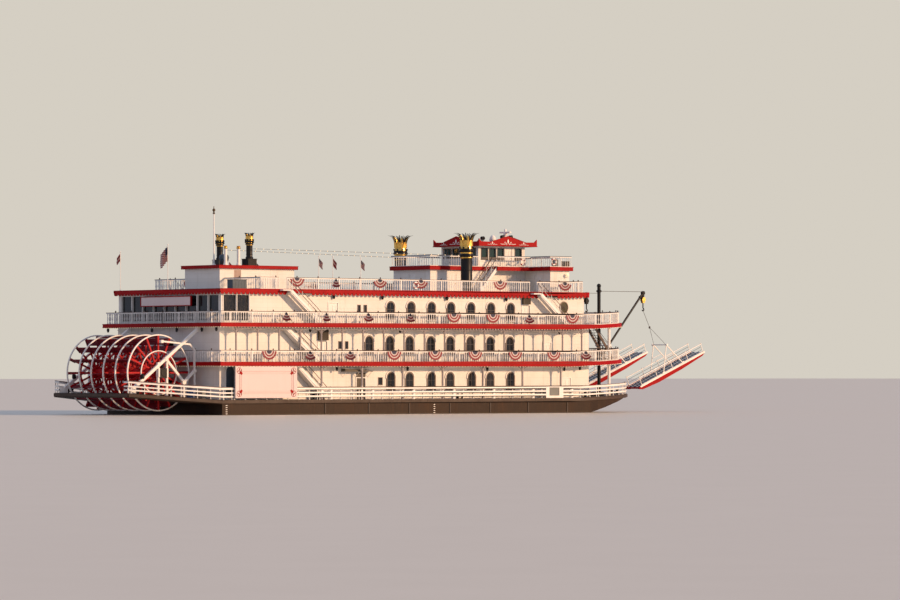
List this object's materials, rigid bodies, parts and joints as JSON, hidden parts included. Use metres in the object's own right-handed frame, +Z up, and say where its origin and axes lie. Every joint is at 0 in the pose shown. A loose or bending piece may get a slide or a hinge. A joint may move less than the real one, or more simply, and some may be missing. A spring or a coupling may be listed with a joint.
{
  "type": "paddle steamer, half-size model",
  "caption": "Stern-wheel paddle steamer with stacked decks, crowned funnels, turning wheel, rudders and swinging bow stages, at half the real size.",
  "frame": {"origin": "on the flat bottom of the hull, on the centreline, about midship", "axes": "+X towards the bow, +Y to port, +Z up"},
  "size_m": [37.371, 9.54, 10.85],
  "materials": {
    "hull_paint": "satin, weathered dark brown",
    "white_paint": "satin white",
    "red_paint": "satin red",
    "wheel_red": "satin red",
    "deck_paint": "matt grey deck paint",
    "black_paint": "gloss black",
    "engine_grey": "satin grey",
    "door_grey": "satin grey",
    "window_glass": "dark tinted glass"
  },
  "bodies": {
    "boat": {"hull": "hull_paint", "fantail": "hull_paint", "engine_block": "engine_grey", "stern_truss_starboard": "white_paint", "main_deck_rail_starboard": "white_paint", "main_deck_rail_fore_starboard": "white_paint", "side_sign_starboard": "white_paint", "forward_funnel_starboard": "black_paint", "aft_funnel_starboard": "black_paint", "mast_starboard": "black_paint", "bow_column_starboard": "white_paint", "deck_2_posts_starboard": "white_paint", "stern_truss_port": "white_paint", "main_deck_rail_port": "white_paint", "main_deck_rail_fore_port": "white_paint", "side_sign_port": "white_paint", "forward_funnel_port": "black_paint", "aft_funnel_port": "black_paint", "mast_port": "black_paint", "bow_column_port": "white_paint", "deck_2_posts_port": "white_paint", "main_deck_walls": "white_paint", "deck_2_walls": "white_paint", "deck_3_walls": "white_paint", "lounge_walls": "white_paint", "deck_2_rail": "white_paint", "deck_2_rail_fore": "white_paint", "deck_3_rail": "white_paint", "hurricane_rail": "white_paint", "aft_house_walls": "white_paint", "texas_walls": "white_paint", "bridge_rail": "white_paint", "pilothouse_walls": "white_paint", "aft_house_roof": "red_paint", "bridge_deck": "red_paint", "pilothouse_roof": "red_paint", "deck_2": "deck_paint", "deck_2_fore": "deck_paint", "deck_3": "deck_paint", "deck_3_fore": "deck_paint", "hurricane_deck": "deck_paint", "lounge_glass": "window_glass", "pilothouse_glass": "window_glass"},
    "wheel": {"paddle_wheel": "wheel_red"},
    "rudder_starboard_blade": {"rudder_starboard": "hull_paint"},
    "derrick_starboard": {"boom_starboard": "black_paint"},
    "landing_stage_starboard": {"stage_starboard": "red_paint", "stage_rails_starboard": "white_paint"},
    "main_deck_leaf_starboard": {"main_deck_door_starboard": "door_grey"},
    "deck_2_leaf_starboard": {"deck_2_door_starboard": "door_grey"},
    "deck_3_leaf_starboard": {"deck_3_door_starboard": "door_grey"},
    "rudder_port_blade": {"rudder_port": "hull_paint"},
    "derrick_port": {"boom_port": "black_paint"},
    "landing_stage_port": {"stage_port": "red_paint", "stage_rails_port": "white_paint"},
    "main_deck_leaf_port": {"main_deck_door_port": "door_grey"},
    "deck_2_leaf_port": {"deck_2_door_port": "door_grey"},
    "deck_3_leaf_port": {"deck_3_door_port": "door_grey"}
  },
  "joints": [
    {"name": "wheel_spin", "type": "hinge", "parent": "boat", "child": "wheel", "pos_m": [-13.99, 0, 2.76], "axis": [0, 1, 0], "continuous": true},
    {"name": "rudder_starboard_turn", "type": "hinge", "parent": "boat", "child": "rudder_starboard_blade", "pos_m": [-11.525, -1.5, 0.3], "axis": [0, 0, 1], "range_deg": [-35, 35]},
    {"name": "rudder_port_turn", "type": "hinge", "parent": "boat", "child": "rudder_port_blade", "pos_m": [-11.525, 1.5, 0.3], "axis": [0, 0, 1], "range_deg": [-35, 35]},
    {"name": "derrick_starboard_slew", "type": "hinge", "parent": "boat", "child": "derrick_starboard", "pos_m": [14.25, -2.2, 3.61], "axis": [0, 0, 1], "range_deg": [-60, 0]},
    {"name": "stage_starboard_pitch", "type": "hinge", "parent": "derrick_starboard", "child": "landing_stage_starboard", "pos_m": [16.5825, -2.2, 1.981], "axis": [0, -1, 0], "range_deg": [-35, 20]},
    {"name": "derrick_port_slew", "type": "hinge", "parent": "boat", "child": "derrick_port", "pos_m": [14.25, 2.2, 3.61], "axis": [0, 0, 1], "range_deg": [0, 60]},
    {"name": "stage_port_pitch", "type": "hinge", "parent": "derrick_port", "child": "landing_stage_port", "pos_m": [16.5825, 2.2, 1.981], "axis": [0, -1, 0], "range_deg": [-35, 20]},
    {"name": "main_deck_door_starboard_swing", "type": "hinge", "parent": "boat", "child": "main_deck_leaf_starboard", "pos_m": [-3.265, -4.03, 1.975], "axis": [0, 0, 1], "range_deg": [0, 90]},
    {"name": "deck_2_door_starboard_swing", "type": "hinge", "parent": "boat", "child": "deck_2_leaf_starboard", "pos_m": [-5.64, -4.03, 3.75], "axis": [0, 0, 1], "range_deg": [0, 90]},
    {"name": "deck_3_door_starboard_swing", "type": "hinge", "parent": "boat", "child": "deck_3_leaf_starboard", "pos_m": [7.385, -4.03, 5.61], "axis": [0, 0, 1], "range_deg": [0, 90]},
    {"name": "main_deck_door_port_swing", "type": "hinge", "parent": "boat", "child": "main_deck_leaf_port", "pos_m": [-3.265, 4.03, 1.975], "axis": [0, 0, 1], "range_deg": [-90, 0]},
    {"name": "deck_2_door_port_swing", "type": "hinge", "parent": "boat", "child": "deck_2_leaf_port", "pos_m": [-5.64, 4.03, 3.75], "axis": [0, 0, 1], "range_deg": [-90, 0]},
    {"name": "deck_3_door_port_swing", "type": "hinge", "parent": "boat", "child": "deck_3_leaf_port", "pos_m": [7.385, 4.03, 5.61], "axis": [0, 0, 1], "range_deg": [-90, 0]}
  ],
  "couplings": [
    {"joint": "rudder_port_turn", "follows": "rudder_starboard_turn", "ratio": 1}
  ]
}
